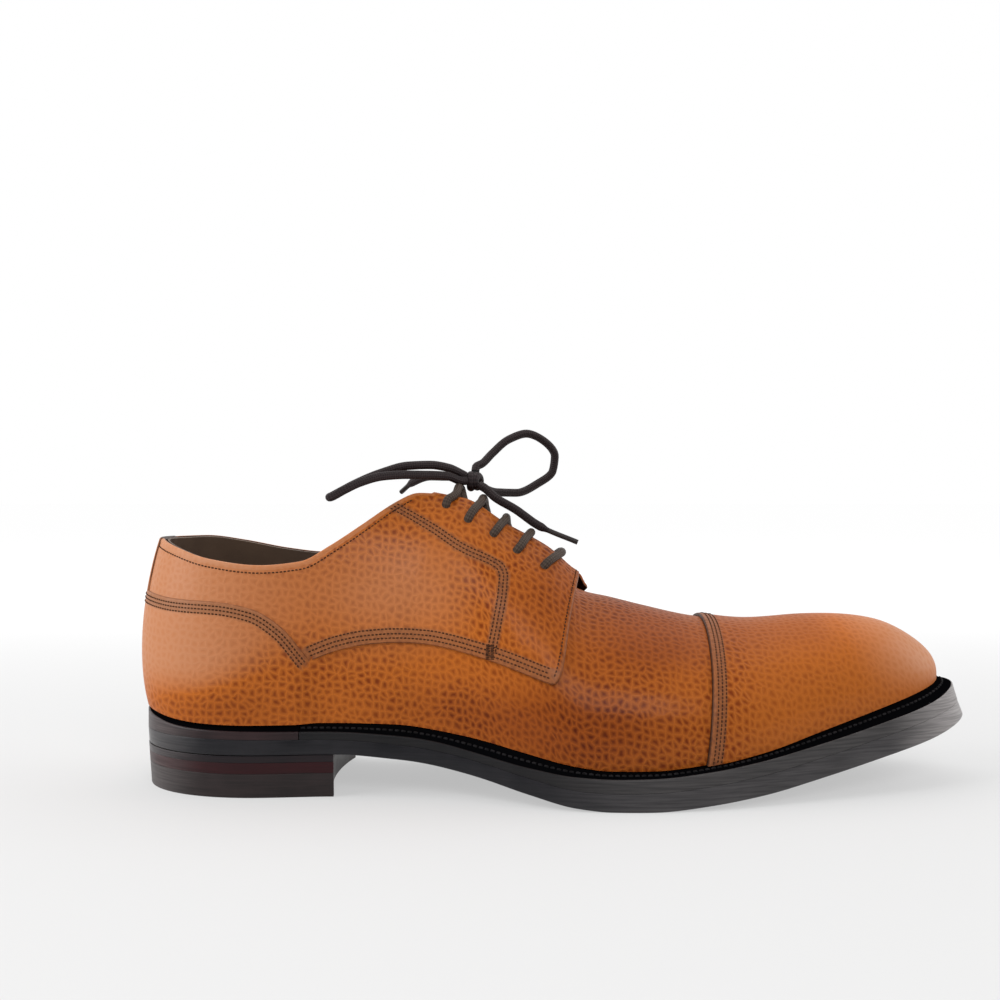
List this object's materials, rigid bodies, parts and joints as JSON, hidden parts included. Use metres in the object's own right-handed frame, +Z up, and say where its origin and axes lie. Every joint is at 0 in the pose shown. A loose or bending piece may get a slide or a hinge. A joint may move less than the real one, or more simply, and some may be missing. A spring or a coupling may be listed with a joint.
{
  "type": "cap toe derby shoe",
  "caption": "Right cap toe derby shoe in tan pebble-grain leather with a stitched dark welt, a leather sole, a stacked heel and a dark lace tied in a bow.",
  "frame": {"origin": "centre of the shoe's bounding box, laces' bow left out, at floor level", "axes": "+X from heel to toe, +Y to the inner side of the foot, +Z up"},
  "size_m": [0.309, 0.1032, 0.1314],
  "materials": {
    "tan_leather": "waxed pebble grain, satin",
    "tongue_leather": "waxed pebble grain, satin",
    "insole_leather": "matt, worn",
    "welt_leather": "dyed and waxed",
    "sole_leather": "dyed and waxed edge",
    "heel_leather": "dyed and waxed stack",
    "lace_cord": "waxed cotton"
  },
  "bodies": {
    "root": {"upper": "tan_leather", "quarter_outer": "tan_leather", "quarter_inner": "tan_leather", "toe_cap": "tan_leather", "tongue": "tongue_leather", "insole": "insole_leather", "welt": "welt_leather", "heel_rand": "heel_leather", "outsole": "sole_leather", "heel_lift_upper": "heel_leather", "heel_lift_lower": "heel_leather", "heel_top_piece": "heel_leather", "lace_bar": "lace_cord", "lace_cross_1": "lace_cord", "lace_cross_2": "lace_cord", "lace_cross_3": "lace_cord", "lace_cross_4": "lace_cord", "lace_knot": "lace_cord", "lace_loop_inner": "lace_cord", "lace_loop_outer": "lace_cord", "lace_end_inner": "lace_cord", "lace_end_outer": "lace_cord"}
  },
  "joints": []
}
